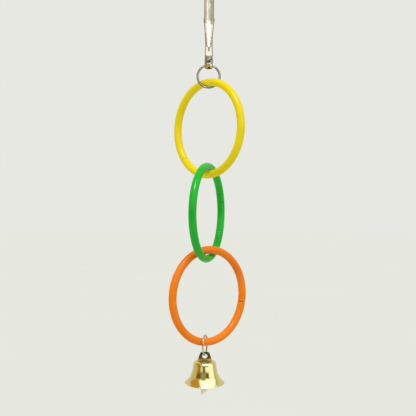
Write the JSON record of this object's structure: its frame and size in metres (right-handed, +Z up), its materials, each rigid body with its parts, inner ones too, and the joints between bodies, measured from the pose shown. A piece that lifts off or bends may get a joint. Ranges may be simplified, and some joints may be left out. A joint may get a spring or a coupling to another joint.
{
  "type": "linked ring bird toy",
  "caption": "Hanging toy for a bird cage: a toothed spring clip holds a wire ring, a chain of linked plastic rings and a small flared brass bell that rings as the chain swings.",
  "frame": {"origin": "middle of the clip's grip, where a cage wire lies between the jaws", "axes": "+Z up along the hanging chain, +X along the gripped wire, +Y to the back, away from the thumb lever"},
  "size_m": [0.0489, 0.0604, 0.2634],
  "materials": {
    "nickel": "bright nickel plate",
    "spring_steel": "drawn wire",
    "yellow_plastic": "gloss",
    "green_plastic": "gloss",
    "orange_plastic": "gloss",
    "brass": "polished"
  },
  "bodies": {
    "clip": {"fixed_jaw": "nickel", "pivot_rivet": "nickel", "jaw_spring": "spring_steel"},
    "lever": {"spring_jaw": "nickel"},
    "hanger": {"hanger_ring": "nickel"},
    "yellow": {"yellow_ring": "yellow_plastic"},
    "green": {"green_ring": "green_plastic"},
    "orange": {"orange_ring": "orange_plastic"},
    "link": {"bell_link": "nickel"},
    "bell": {"bell_shell": "brass", "bell_lug": "brass"},
    "tongue": {"clapper": "brass"}
  },
  "joints": [
    {"name": "jaw_open", "type": "hinge", "parent": "clip", "child": "lever", "pos_m": [0, 0, -0.022], "axis": [1, 0, 0], "range_deg": [0, 26], "stiffness_Nm_per_rad": 0.01, "springref_deg": -14.32, "deforming": ["jaw_spring"]},
    {"name": "hanger_swing", "type": "hinge", "parent": "clip", "child": "hanger", "pos_m": [0, 0, -0.05075], "axis": [1, 0, 0], "range_deg": [-60, 60]},
    {"name": "yellow_swing", "type": "hinge", "parent": "hanger", "child": "yellow", "pos_m": [0, 0, -0.06429], "axis": [1, 0, 0], "range_deg": [-30, 30]},
    {"name": "green_swing", "type": "hinge", "parent": "yellow", "child": "green", "pos_m": [0, 0, -0.11924], "axis": [0.682, -0.7314, 0], "range_deg": [-60, 60]},
    {"name": "orange_swing", "type": "hinge", "parent": "green", "child": "orange", "pos_m": [0, 0, -0.17239], "axis": [0.309, 0.9511, 0], "range_deg": [-45, 15]},
    {"name": "link_swing", "type": "hinge", "parent": "orange", "child": "link", "pos_m": [-0.00087, -0.00075, -0.2249], "axis": [0.7515, 0.6532, -0.0926], "range_deg": [-38, 60]},
    {"name": "bell_swing", "type": "hinge", "parent": "link", "child": "bell", "pos_m": [-0.00111, -0.00187, -0.23289], "axis": [0.2043, 0.9613, -0.1847], "range_deg": [-60, 60]},
    {"name": "clapper_swing", "type": "hinge", "parent": "bell", "child": "tongue", "pos_m": [-0.00087, -0.00092, -0.24022], "axis": [0, 1, 0], "range_deg": [-34, 34]}
  ]
}
